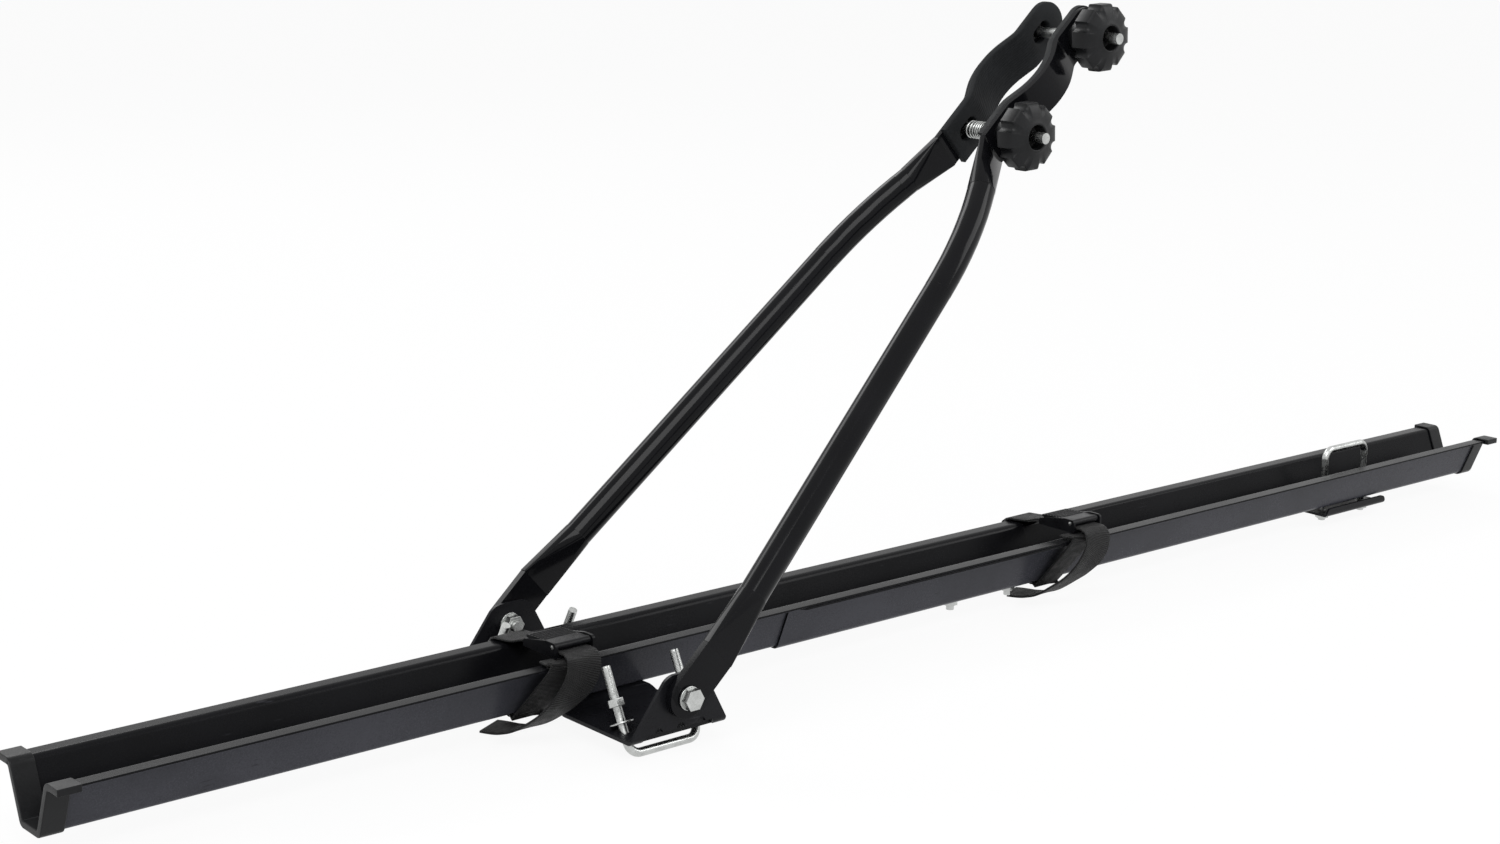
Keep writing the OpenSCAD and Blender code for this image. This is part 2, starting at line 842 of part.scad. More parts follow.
// Lever with the cam at its pin and a ribbed thumb plate
module cam_lever(strap_x) {
    half = buckle_w / 2 - 2.5;
    color([0.06, 0.06, 0.065])
    at_buckle(strap_x)
    difference() {
        union() {
            along_x(-half, half)
                translate(lever_pin_at) circle(r = 2.6);
            along_x(-half, half)
                polygon(rounded([[lever_pin_at.x, 49.5], [0, 48.4], [4.4, 49.4], [4.4, 51],
                                 [lever_pin_at.x, 52.7]],
                                [0.3, 1.5, 0.8, 0.8, 0.3]));
            for (i = [0:5])
                translate([0, -14 + 3 * i, 51.8 - 0.16 * i])
                rotate([0, 90, 0])
                cylinder(d = 1.6, h = 2 * half - 2, center = true);
        }
        lever_bore(running);
    }
}

module lever_pin(strap_x) {
    color([0.75, 0.75, 0.72])
    at_buckle(strap_x)
    translate([-buckle_w / 2, lever_pin_at.x, lever_pin_at.y])
    rotate([0, 90, 0])
    cylinder(d = lever_pin_d, h = buckle_w);
}

module front_buckle() {
    buckle(front_strap_x);
}

module rear_buckle() {
    buckle(rear_strap_x);
}

module front_cam_lever() {
    cam_lever(front_strap_x);
}

module rear_cam_lever() {
    cam_lever(rear_strap_x);
}

module front_lever_pin() {
    lever_pin(front_strap_x);
}

module rear_lever_pin() {
    lever_pin(rear_strap_x);
}

front_channel();
rear_channel();
front_end_cap();
rear_end_cap();
base_bracket();
bracket_bolts();
bracket_nuts();
joint_bolts();
joint_nuts();
near_arm();
far_arm();
near_jaw_pad();
far_jaw_pad();
lower_clamp_bolt();
upper_clamp_bolt();
clamp_spring();
lower_knob();
upper_knob();
lower_knob_insert();
upper_knob_insert();
lower_knob_washer();
upper_knob_washer();
pivot_bolts();
pivot_washers();
pivot_nuts();
near_roof_u_bolt();
far_roof_u_bolt();
roof_u_bolt_washers();
roof_u_bolt_nuts();
rear_u_bolt();
rear_clamp_plate();
rear_u_bolt_nuts();
front_strap();
rear_strap();
front_buckle();
rear_buckle();
front_cam_lever();
rear_cam_lever();
front_lever_pin();
rear_lever_pin();
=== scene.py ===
"""Looks of a roof bike carrier: webbing straps, ribbed jaw pads, star knobs, the clamp's spring,
screw threads, the finishes of every part and a plain studio, built around the carrier's frame."""

from math import atan2, cos, hypot, pi, radians, sin, sqrt, tan

import bmesh
import bpy
import numpy as np
from bpy.props import FloatProperty, FloatVectorProperty, IntProperty, PointerProperty
from mathutils import Matrix, Vector
from mathutils.geometry import delaunay_2d_cdt


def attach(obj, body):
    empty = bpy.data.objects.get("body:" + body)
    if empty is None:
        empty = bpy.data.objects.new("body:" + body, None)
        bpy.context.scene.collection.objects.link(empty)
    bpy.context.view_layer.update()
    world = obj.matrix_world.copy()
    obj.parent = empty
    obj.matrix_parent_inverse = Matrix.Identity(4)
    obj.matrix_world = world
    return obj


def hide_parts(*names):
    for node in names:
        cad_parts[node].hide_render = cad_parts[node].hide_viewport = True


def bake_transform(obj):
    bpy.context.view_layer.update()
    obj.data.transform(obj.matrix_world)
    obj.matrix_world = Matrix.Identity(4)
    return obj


bl_info = {
    "name": "Roof Bike Carrier",
    "version": (1, 0, 0),
    "blender": (4, 5, 0),
    "location": "View3D > Sidebar > Bike Carrier",
    "description": "Webbing, pads, knobs, spring, threads and finishes of a roof bike carrier",
    "category": "Add Mesh",
}

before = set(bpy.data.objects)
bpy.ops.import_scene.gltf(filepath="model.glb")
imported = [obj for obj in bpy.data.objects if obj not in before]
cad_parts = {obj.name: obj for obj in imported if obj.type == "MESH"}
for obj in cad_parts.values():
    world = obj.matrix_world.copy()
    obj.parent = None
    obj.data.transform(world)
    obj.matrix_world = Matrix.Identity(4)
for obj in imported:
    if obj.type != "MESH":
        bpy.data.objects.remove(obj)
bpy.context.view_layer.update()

MM = 0.001

# Where the parts are, in millimetres, as in the carrier's drawing

# The arms: their pivots, their slope, and the clamp's bolts along them
PIVOT = (1.9, 0.0, 26.0)
ARM_ANGLE = radians(42.3)
CLAMP_BOLTS = (488.0, 588.5)
# The jaws: where they bend, how far they bulge, the bends' radii, and each jaw's middle
JAW_ENDS = (440.0, 640.0)
JAW_CORNERS = (505.0, 538.0, 571.0)
JAW_BULGE = 16.5
JAW_RADII = (12.0, 50.0, 12.0)
NEAR_JAW_Y, FAR_JAW_Y = -16.2, 25.3
# The pads: start and width of each, their common end, their back off the jaw's middle, and the
# bolt slots
NEAR_PAD, FAR_PAD = (474.0, 28.0), (470.0, 34.0)
PAD_END = 613.5
PAD_BACK, PAD_THICKNESS = 2.05, 5.0
SLOT_RADIUS, SLOT_HALF = 5.75, 4.0
RIB_MARGIN = 12.0
# The knobs: boss and star out from the near jaw's washer, the bore, and the star's turn
KNOB_BACK = -20.4
BOSS_LENGTH = 11.6
STAR_DEPTH = 18.0
KNOB_BORE = 6.0
LOBE_TURN = radians(5.7)
# The clamp's bolts and spring: tips, thread start, the pads that the spring presses on
BOLT_TIP, BOLT_THREAD_START = -58.0, 22.5
BOLT_RADIUS = 4.0
SPRING_NEAR, SPRING_FAR = -8.8, 17.9
SPRING_RADIUS = 5.9
# The U-bolts: half the gap between their legs, the legs' lengths, and where the threads start
LEG_HALF = 28.0
LEG_RADIUS = 3.0
LEG_PLAIN = 23.0
ROOF_LEG, REAR_LEG = 58.3, 62.0
ROOF_LEAN = radians(27)
ROOF_BAR_HALF = 81.2
ROOF_BAR_Z = -11.5
REAR_U_X = 832.0
REAR_BAR_Z = 50.0
# The straps: where each is along the channel, and how much lower it runs under it
STRAP_PLACES = (("front", -60.0, 0.0), ("rear", 433.0, 1.7))
FLOOR_Z = ROOF_BAR_Z - LEG_RADIUS


class CarrierStraps(bpy.types.PropertyGroup):
    """Sizes and colours of the webbing"""

    width: FloatProperty(name="Width", description="Width of the webbing", default=0.025,
                         min=0.02, max=0.03, subtype="DISTANCE", unit="LENGTH")
    thickness: FloatProperty(name="Thickness", description="Thickness of the webbing",
                             default=0.0016, min=0.001, max=0.002, precision=4,
                             subtype="DISTANCE", unit="LENGTH")
    weft_pitch: FloatProperty(name="Weft pitch", description="Distance between the cross ribs",
                              default=0.0013, min=0.0008, max=0.003, precision=4,
                              subtype="DISTANCE", unit="LENGTH")
    colour: FloatVectorProperty(name="Colour", description="Colour of the nylon", size=3,
                                subtype="COLOR", default=(0.0042, 0.0042, 0.0045), min=0, max=1)


class CarrierKnobs(bpy.types.PropertyGroup):
    """Shape of the star knobs"""

    across_flats: FloatProperty(name="Across flats", description="Width over two flat lobes",
                                default=0.0486, min=0.04, max=0.06, precision=4,
                                subtype="DISTANCE", unit="LENGTH")
    lobes: IntProperty(name="Lobes", description="Number of lobes", default=8, min=5, max=12)
    notch_radius: FloatProperty(name="Notch radius", description="Radius of a grip's hollow",
                                default=0.0042, min=0.002, max=0.008, precision=4,
                                subtype="DISTANCE", unit="LENGTH")
    notch_reach: FloatProperty(name="Notch reach", description="Distance from the axis to a grip",
                               default=0.0262, min=0.02, max=0.03, precision=4,
                               subtype="DISTANCE", unit="LENGTH")
    colour: FloatVectorProperty(name="Colour", description="Colour of the moulded plastic", size=3,
                                subtype="COLOR", default=(0.0085, 0.0088, 0.0095), min=0, max=1)


class CarrierHardware(bpy.types.PropertyGroup):
    """Spring, threads and plated fasteners"""

    spring_turns: FloatProperty(name="Spring turns", description="Turns of the clamp's spring",
                                default=9.0, min=6, max=12)
    spring_wire: FloatProperty(name="Spring wire", description="Thickness of the spring's wire",
                               default=0.0015, min=0.001, max=0.002, precision=4,
                               subtype="DISTANCE", unit="LENGTH")
    small_pitch: FloatProperty(name="Rod pitch", description="Thread pitch of the U-bolts",
                               default=0.001, min=0.0007, max=0.0015, precision=5,
                               subtype="DISTANCE", unit="LENGTH")
    large_pitch: FloatProperty(name="Bolt pitch", description="Thread pitch of the clamp's bolts",
                               default=0.00125, min=0.001, max=0.002, precision=5,
                               subtype="DISTANCE", unit="LENGTH")
    plating: FloatVectorProperty(name="Plating", description="Colour of the zinc plating", size=3,
                                 subtype="COLOR", default=(0.5, 0.51, 0.5), min=0, max=1)
    # Painted light: a paler colour on the channel's faces that look down, standing in for the
    # floor's light on its outer walls
    satin: FloatVectorProperty(name="Painted wall light", description="Colour of the channel's outside", size=3,
                               subtype="COLOR", default=(0.055, 0.056, 0.066), min=0, max=1)
    paint: FloatVectorProperty(name="Paint", description="Colour of the gloss coating", size=3,
                               subtype="COLOR", default=(0.0045, 0.0046, 0.0055), min=0, max=1)


class CarrierPads(bpy.types.PropertyGroup):
    """Ribs and colour of the rubber pads"""

    rib_pitch: FloatProperty(name="Rib pitch", description="Distance between the lengthwise ribs",
                             default=0.0021, min=0.001, max=0.004, precision=4,
                             subtype="DISTANCE", unit="LENGTH")
    rib_depth: FloatProperty(name="Rib depth", description="Depth between the ribs",
                             default=0.00045, min=0.0001, max=0.001, precision=5,
                             subtype="DISTANCE", unit="LENGTH")
    colour: FloatVectorProperty(name="Colour", description="Colour of the rubber", size=3,
                                subtype="COLOR", default=(0.0125, 0.0135, 0.0145), min=0, max=1)


class CarrierStudio(bpy.types.PropertyGroup):
    """Floor, lights and camera"""

    floor_colour: FloatVectorProperty(name="Floor", description="Colour of the floor", size=3,
                                      subtype="COLOR", default=(0.86, 0.86, 0.87), min=0, max=1)
    key_power: FloatProperty(name="Key light", description="Power of the large soft light",
                             default=70.0, min=0, max=500, unit="POWER")
    fill_power: FloatProperty(name="Fill light", description="Power of the soft light opposite",
                              default=30.0, min=0, max=500, unit="POWER")
    lens: FloatProperty(name="Lens", description="Focal length in millimetres on a 36 mm sensor",
                        default=59.18, min=20, max=200)


# Meshes

def add_piece(name, verts, faces, material, body=None, uvs=None, sharp=35.0):
    """Makes a mesh object from vertices in millimetres, and fixes it to a body if one is given."""
    mesh = bpy.data.meshes.new(name)
    mesh.from_pydata([tuple(v) for v in np.asarray(verts, float) * MM], [], faces)
    if uvs is not None:
        layer = mesh.uv_layers.new(name="UVMap")
        flat = [c for face in uvs for uv in face for c in uv]
        layer.data.foreach_set("uv", flat)
    mesh.validate()
    mesh.polygons.foreach_set("use_smooth", [True] * len(mesh.polygons))
    mesh.set_sharp_from_angle(angle=radians(sharp))
    mesh.materials.append(material)
    piece = bpy.data.objects.new(name, mesh)
    bpy.context.scene.collection.objects.link(piece)
    if body:
        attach(piece, body)
    return piece


def settle_normals(piece):
    """Turns a closed mesh's faces outwards and drops vertices that no face uses."""
    work = bmesh.new()
    work.from_mesh(piece.data)
    loose = [v for v in work.verts if not v.link_faces]
    bmesh.ops.delete(work, geom=loose, context="VERTS")
    bmesh.ops.recalc_face_normals(work, faces=work.faces)
    work.to_mesh(piece.data)
    work.free()


def arm_point(s, y, z=0.0):
    """A point in the arms' frame, in the carrier's frame: s runs from the pivots to the clamp."""
    return (PIVOT[0] + s * cos(ARM_ANGLE) - z * sin(ARM_ANGLE), y,
            PIVOT[2] + s * sin(ARM_ANGLE) + z * cos(ARM_ANGLE))


def smooth_curve(points, step):
    """Points at about the given step along a smooth curve through the given ones."""
    p = np.asarray(points, float)
    p = np.vstack([2 * p[0] - p[1], p, 2 * p[-1] - p[-2]])
    out = []
    for i in range(1, len(p) - 2):
        a, b, c, d = p[i - 1:i + 3]
        count = max(2, int(np.linalg.norm(c - b) / step))
        for k in range(count):
            t = k / count
            out.append(0.5 * (2 * b + (c - a) * t + (2 * a - 5 * b + 4 * c - d) * t * t
                              + (3 * b - a - 3 * c + d) * t ** 3))
    out.append(p[-2])
    return np.array(out)


def sweep(centre, across, normal, section, capped=True):
    """Carries a closed section along a line. across and normal are its axes at each point."""
    n, m = len(centre), len(section)
    section = np.asarray(section, float)
    verts = (centre[:, None, :] + across[:, None, :] * section[None, :, 0, None]
             + normal[:, None, :] * section[None, :, 1, None]).reshape(-1, 3)
    along = np.concatenate([[0], np.cumsum(np.linalg.norm(np.diff(centre, axis=0), axis=1))])
    faces, uvs = [], []
    for i in range(n - 1):
        for j in range(m):
            k = (j + 1) % m
            faces.append((i * m + j, i * m + k, (i + 1) * m + k, (i + 1) * m + j))
            uvs.append([(section[j, 0] * MM, along[i] * MM), (section[k, 0] * MM, along[i] * MM),
                        (section[k, 0] * MM, along[i + 1] * MM),
                        (section[j, 0] * MM, along[i + 1] * MM)])
    if capped:
        for ring, turn in ((0, -1), (n - 1, 1)):
            face = tuple(ring * m + j for j in range(m))[::turn]
            faces.append(face)
            uvs.append([(section[v % m, 0] * MM, section[v % m, 1] * MM) for v in face])
    return verts, faces, uvs


def line_axes(centre, hint):
    """Axes square to a line, the first as near as can be to the hint."""
    tangent = np.gradient(centre, axis=0)
    tangent /= np.linalg.norm(tangent, axis=1)[:, None]
    hint = np.broadcast_to(np.asarray(hint, float), tangent.shape)
    across = hint - tangent * np.sum(hint * tangent, axis=1)[:, None]
    across /= np.linalg.norm(across, axis=1)[:, None]
    return across, np.cross(tangent, across)


def joined(parts):
    """Several lots of vertices and faces as one."""
    verts, faces = [], []
    for v, f in parts:
        shift = len(verts)
        verts.extend(list(v))
        faces.extend([tuple(i + shift for i in face) for face in f])
    return verts, faces


# Shader effects

def effect(name, inputs, outputs):
    """A new shader node group with its input and output nodes."""
    tree = bpy.data.node_groups.new(name, "ShaderNodeTree")
    for label, kind, value in inputs:
        socket = tree.interface.new_socket(label, in_out="INPUT", socket_type=kind)
        socket.default_value = value
    for label, kind in outputs:
        tree.interface.new_socket(label, in_out="OUTPUT", socket_type=kind)
    return tree, tree.nodes.new("NodeGroupInput"), tree.nodes.new("NodeGroupOutput")


def node_in(tree, kind, links=(), **values):
    """Adds a node, sets its properties and links the given sockets to its inputs."""
    node = tree.nodes.new(kind)
    for key, value in values.items():
        setattr(node, key, value)
    for socket, source in links:
        tree.links.new(source, node.inputs[socket])
    return node


def math_node(tree, operation, a, b=None, clamp=False):
    """A math node whose operands are sockets or numbers."""
    node = tree.nodes.new("ShaderNodeMath")
    node.operation, node.use_clamp = operation, clamp
    for index, operand in enumerate((a, b)):
        if operand is None:
            continue
        if isinstance(operand, (int, float)):
            node.inputs[index].default_value = operand
        else:
            tree.links.new(operand, node.inputs[index])
    return node.outputs[0]


def colour_mix(tree, mask, first, second):
    """Two colours mixed by a mask. Each colour is a socket or four numbers."""
    mix = node_in(tree, "ShaderNodeMix", [(0, mask)], data_type="RGBA")
    for index, colour in ((6, first), (7, second)):
        if isinstance(colour, bpy.types.NodeSocket):
            tree.links.new(colour, mix.inputs[index])
        else:
            mix.inputs[index].default_value = colour
    return mix.outputs[2]


def mapped(tree, value, low, high):
    """A value spread over 0 to 1 from low to high."""
    spread = node_in(tree, "ShaderNodeMapRange", [("Value", value)])
    spread.inputs["From Min"].default_value = low
    spread.inputs["From Max"].default_value = high
    return spread.outputs["Result"]


def mottle_effect():
    """Slow and fine changes of tone and gloss, as on any made surface."""
    tree, gin, gout = effect("Mottle", [
        ("Dark", "NodeSocketColor", (0.01, 0.01, 0.01, 1)),
        ("Light", "NodeSocketColor", (0.02, 0.02, 0.02, 1)),
        ("Gloss", "NodeSocketFloat", 0.2), ("Dull", "NodeSocketFloat", 0.4),
        ("Scale", "NodeSocketFloat", 60.0), ("Fine Scale", "NodeSocketFloat", 900.0)],
        [("Color", "NodeSocketColor"), ("Roughness", "NodeSocketFloat")])
    where = tree.nodes.new("ShaderNodeTexCoord").outputs["Object"]
    slow = node_in(tree, "ShaderNodeTexNoise", [("Vector", where), ("Scale", gin.outputs["Scale"])])
    slow.inputs["Detail"].default_value = 5
    fine = node_in(tree, "ShaderNodeTexNoise",
                   [("Vector", where), ("Scale", gin.outputs["Fine Scale"])])
    fine.inputs["Detail"].default_value = 2
    mask = math_node(tree, "ADD", math_node(tree, "MULTIPLY", slow.outputs["Fac"], 0.65),
                     math_node(tree, "MULTIPLY", fine.outputs["Fac"], 0.35))
    spread = mapped(tree, mask, 0.36, 0.64)
    rough = node_in(tree, "ShaderNodeMapRange", [
        ("Value", spread), ("To Min", gin.outputs["Gloss"]), ("To Max", gin.outputs["Dull"])])
    tree.links.new(colour_mix(tree, spread, gin.outputs["Dark"], gin.outputs["Light"]),
                   gout.inputs["Color"])
    tree.links.new(rough.outputs["Result"], gout.inputs["Roughness"])
    return tree


def grain_effect():
    """Fine raised grain: the orange peel of a coating or the texture of a mould."""
    tree, gin, gout = effect("Grain", [
        ("Scale", "NodeSocketFloat", 700.0), ("Sharpness", "NodeSocketFloat", 0.5)],
        [("Height", "NodeSocketFloat")])
    where = tree.nodes.new("ShaderNodeTexCoord").outputs["Object"]
    soft = node_in(tree, "ShaderNodeTexNoise", [("Vector", where), ("Scale", gin.outputs["Scale"])])
    soft.inputs["Detail"].default_value = 3
    cells = node_in(tree, "ShaderNodeTexVoronoi",
                    [("Vector", where), ("Scale", gin.outputs["Scale"])])
    mix = node_in(tree, "ShaderNodeMix", [(0, gin.outputs["Sharpness"]),
                                          (2, soft.outputs["Fac"]), (3, cells.outputs["Distance"])])
    tree.links.new(mix.outputs[0], gout.inputs["Height"])
    return tree


def scuff_effect():
    """Thin pale scratches and rubbed specks as a mask."""
    tree, gin, gout = effect("Scuffs", [
        ("Scale", "NodeSocketFloat", 40.0), ("Amount", "NodeSocketFloat", 0.3)],
        [("Mask", "NodeSocketFloat")])
    where = tree.nodes.new("ShaderNodeTexCoord").outputs["Object"]
    stretch = node_in(tree, "ShaderNodeMapping", [("Vector", where)])
    stretch.inputs["Scale"].default_value = (1.0, 9.0, 14.0)
    stretch.inputs["Rotation"].default_value = (0.2, 0.35, 0.5)
    streak = node_in(tree, "ShaderNodeTexNoise",
                     [("Vector", stretch.outputs["Vector"]), ("Scale", gin.outputs["Scale"])])
    streak.inputs["Detail"].default_value = 6
    patch = node_in(tree, "ShaderNodeTexNoise",
                    [("Vector", where), ("Scale", gin.outputs["Scale"])])
    both = math_node(tree, "MULTIPLY", streak.outputs["Fac"], patch.outputs["Fac"])
    edge = math_node(tree, "SUBTRACT", 0.44,
                     math_node(tree, "MULTIPLY", gin.outputs["Amount"], 0.1))
    mask = math_node(tree, "MULTIPLY", math_node(tree, "SUBTRACT", both, edge), 14.0, clamp=True)
    tree.links.new(mask, gout.inputs["Mask"])
    return tree


def weave_effect():
    """Woven nylon webbing: raised cross ribs of crossing yarns, from the webbing's own UVs."""
    tree, gin, gout = effect("Webbing Weave", [
        ("Pitch", "NodeSocketFloat", 0.0013), ("Yarn", "NodeSocketFloat", 0.0011)],
        [("Height", "NodeSocketFloat"), ("Valley", "NodeSocketFloat")])
    uv = tree.nodes.new("ShaderNodeUVMap")
    uv.uv_map = "UVMap"
    split = node_in(tree, "ShaderNodeSeparateXYZ", [("Vector", uv.outputs["UV"])])
    rows = math_node(tree, "DIVIDE", split.outputs["Y"], gin.outputs["Pitch"])
    shift = math_node(tree, "MULTIPLY", math_node(tree, "FLOOR", rows), 0.5)
    columns = math_node(tree, "ADD",
                        math_node(tree, "DIVIDE", split.outputs["X"], gin.outputs["Yarn"]), shift)
    ridge = math_node(tree, "ABSOLUTE", math_node(
        tree, "SINE", math_node(tree, "MULTIPLY", rows, pi)))
    yarn = math_node(tree, "ABSOLUTE", math_node(
        tree, "SINE", math_node(tree, "MULTIPLY", columns, pi)))
    height = math_node(tree, "MULTIPLY", math_node(tree, "POWER", ridge, 0.6),
                       math_node(tree, "ADD", math_node(tree, "MULTIPLY", yarn, 0.45), 0.55))
    # Valley marks the dips between the ribs, where the webbing's material paints shade
    valley = math_node(tree, "SUBTRACT", 1.0, height, clamp=True)
    tree.links.new(height, gout.inputs["Height"])
    tree.links.new(valley, gout.inputs["Valley"])
    return tree


def placed(material, tree, **values):
    """Places an effect in a material with its own values."""
    node = material.node_tree.nodes.new("ShaderNodeGroup")
    node.node_tree = tree
    for label, value in values.items():
        node.inputs[label.replace("_", " ")].default_value = value
    return node


def toned(colour, gain):
    """A colour as four numbers, lighter or darker by the given gain."""
    return (*[min(1.0, c * gain) for c in colour], 1.0)


def bump_normal(tree, shader, height, depth):
    """Raises the surface by a height map, to the given depth in metres."""
    bump = node_in(tree, "ShaderNodeBump", [("Height", height)])
    bump.inputs["Strength"].default_value = 1.0
    bump.inputs["Distance"].default_value = depth
    tree.links.new(bump.outputs["Normal"], shader.inputs["Normal"])


def surface_material(name, effects, colour, spread, rough, scale, grain, depth, metallic=0.0,
                     scuffs=0.0, scuff_colour=(0.2, 0.2, 0.2, 1), sharp=0.4, coat=0.0,
                     specular=0.5, satin=None):
    """A finish with mottled tone and gloss, fine grain and light scuffs. rough is its least and
    most roughness. The last argument is painted light: a paler colour on the faces that look down,
    a channel's outside, standing in for the floor's light on its outer walls."""
    material = bpy.data.materials.new(name)
    material.use_nodes = True
    tree = material.node_tree
    shader = tree.nodes["Principled BSDF"]
    shader.inputs["Metallic"].default_value = metallic
    shader.inputs["Specular IOR Level"].default_value = specular
    shader.inputs["Coat Weight"].default_value = coat
    shader.inputs["Coat Roughness"].default_value = 0.08
    mottle = placed(material, effects["mottle"], Dark=toned(colour, 1 - spread),
                    Light=toned(colour, 1 + spread), Gloss=rough[0], Dull=rough[1], Scale=scale)
    colour_out = mottle.outputs["Color"]
    # Painted light: faces whose normal points down, the channel's outer walls, get a paler colour
    # that stands in for the floor's light on them
    if satin:
        split = node_in(tree, "ShaderNodeSeparateXYZ", [
            ("Vector", tree.nodes.new("ShaderNodeNewGeometry").outputs["Normal"])])
        pale = placed(material, effects["mottle"], Dark=toned(satin, 0.8), Light=toned(satin, 1.2),
                      Scale=scale)
        colour_out = colour_mix(tree, mapped(tree, split.outputs["Z"], -0.2, -0.4), colour_out,
                                pale.outputs["Color"])
    if scuffs:
        scratch = placed(material, effects["scuffs"], Amount=scuffs)
        colour_out = colour_mix(tree, scratch.outputs["Mask"], colour_out, scuff_colour)
    tree.links.new(colour_out, shader.inputs["Base Color"])
    tree.links.new(mottle.outputs["Roughness"], shader.inputs["Roughness"])
    texture = placed(material, effects["grain"], Scale=grain, Sharpness=sharp)
    bump_normal(tree, shader, texture.outputs["Height"], depth)
    return material


def webbing_material(effects, sizes):
    """Black nylon webbing with its weave, a soft sheen, and painted shade that darkens the weave's
    valleys so that its crowns look paler.
    """
    material = bpy.data.materials.new("black nylon webbing")
    material.use_nodes = True
    tree = material.node_tree
    shader = tree.nodes["Principled BSDF"]
    shader.inputs["Sheen Weight"].default_value = 0.06
    shader.inputs["Sheen Roughness"].default_value = 0.4
    shader.inputs["Specular IOR Level"].default_value = 0.2
    mottle = placed(material, effects["mottle"], Dark=toned(sizes.colour, 0.8),
                    Light=toned(sizes.colour, 1.9), Gloss=0.45, Dull=0.7, Scale=150.0,
                    Fine_Scale=2500.0)
    weave = placed(material, effects["weave"], Pitch=sizes.weft_pitch, Yarn=0.0011)
    # Painted shade: the base colour is darkened in the weave's valleys
    valley_painted_shade = (0.0005, 0.0005, 0.0005, 1)
    tree.links.new(colour_mix(tree, weave.outputs["Valley"], mottle.outputs["Color"],
                              valley_painted_shade), shader.inputs["Base Color"])
    tree.links.new(mottle.outputs["Roughness"], shader.inputs["Roughness"])
    bump_normal(tree, shader, weave.outputs["Height"], 0.0007)
    return material


# The finishes by name, filled by the finishes step
MATERIALS = {}


def make_materials(scene):
    """All finishes, made once and kept by name."""
    effects = {"mottle": mottle_effect(), "grain": grain_effect(), "scuffs": scuff_effect(),
               "weave": weave_effect()}
    hardware = scene.carrier_hardware
    paint, plating = hardware.paint, hardware.plating
    # The channel gets painted light: its faces that look down are made paler
    MATERIALS["channel"] = surface_material(
        "coated channel", effects, paint, 0.25, (0.2, 0.32), 14.0, 480.0, 0.00003,
        scuffs=0.2, scuff_colour=(0.02, 0.02, 0.024, 1), sharp=0.25, specular=0.08,
        satin=hardware.satin)
    MATERIALS["arm"] = surface_material(
        "gloss painted tube", effects, paint, 0.2, (0.09, 0.16), 20.0, 350.0, 0.00001,
        sharp=0.15, coat=0.04, specular=0.09)
    MATERIALS["bracket"] = surface_material(
        "coated bracket", effects, toned(paint, 1.6)[:3], 0.25, (0.24, 0.38), 30.0, 600.0,
        0.00004, scuffs=0.3, scuff_colour=(0.03, 0.03, 0.034, 1), specular=0.12)
    MATERIALS["plastic"] = surface_material(
        "moulded plastic", effects, scene.carrier_knobs.colour, 0.25, (0.3, 0.46), 45.0, 1600.0,
        0.00005, sharp=0.6, scuffs=0.2, scuff_colour=(0.035, 0.035, 0.04, 1), specular=0.16)
    MATERIALS["rubber"] = surface_material(
        "black rubber", effects, scene.carrier_pads.colour, 0.3, (0.5, 0.68), 60.0, 2200.0,
        0.00005, sharp=0.5, scuffs=0.25, scuff_colour=(0.025, 0.027, 0.03, 1), specular=0.1)
    MATERIALS["zinc"] = surface_material(
        "zinc plating", effects, plating, 0.16, (0.2, 0.38), 120.0, 1400.0, 0.00003,
        metallic=1.0, scuffs=0.2, scuff_colour=(0.3, 0.3, 0.28, 1))
    MATERIALS["spring"] = surface_material(
        "spring wire", effects, toned(plating, 0.95)[:3], 0.12, (0.18, 0.3), 200.0, 2500.0,
        0.00002, metallic=1.0)
    MATERIALS["buckle"] = surface_material(
        "coated buckle", effects, paint, 0.3, (0.24, 0.4), 90.0, 1500.0, 0.00003,
        scuffs=0.3, scuff_colour=(0.05, 0.05, 0.055, 1), specular=0.14)
    MATERIALS["webbing"] = webbing_material(effects, scene.carrier_straps)


# Which finish and edge rounding, in millimetres, each node of the frame gets. The others are
# plated fasteners.
NODE_FINISHES = {
    "front_channel": ("channel", 0.25), "rear_channel": ("channel", 0.25),
    "front_end_cap": ("plastic", 0.6), "rear_end_cap": ("plastic", 0.6),
    "base_bracket": ("bracket", 0.35), "rear_clamp_plate": ("bracket", 0.3),
    "near_arm": ("arm", 0.3), "far_arm": ("arm", 0.3),
    "near_jaw_pad": ("rubber", 0.5), "far_jaw_pad": ("rubber", 0.5),
    "lower_knob": ("plastic", 0.6), "upper_knob": ("plastic", 0.6),
    "lower_knob_insert": ("zinc", 0.2), "upper_knob_insert": ("zinc", 0.2),
    "clamp_spring": ("spring", 0.0),
    "front_strap": ("webbing", 0.0), "rear_strap": ("webbing", 0.0),
    "front_buckle": ("buckle", 0.3), "rear_buckle": ("buckle", 0.3),
    "front_cam_lever": ("buckle", 0.3), "rear_cam_lever": ("buckle", 0.3),
}
PLATED_EDGE = 0.3


def round_edges(node, width):
    """Rounds a node's sharp edges with modifiers, which leave its mesh as it is."""
    weld = node.modifiers.new("Weld", "WELD")
    weld.merge_threshold = 1e-6
    bevel = node.modifiers.new("Round edges", "BEVEL")
    bevel.width = width * MM
    bevel.segments = 2
    bevel.limit_method = "ANGLE"
    bevel.angle_limit = radians(38)
    bevel.use_clamp_overlap = True
    even = node.modifiers.new("Even shading", "WEIGHTED_NORMAL")
    even.keep_sharp = False
    even.weight = 60


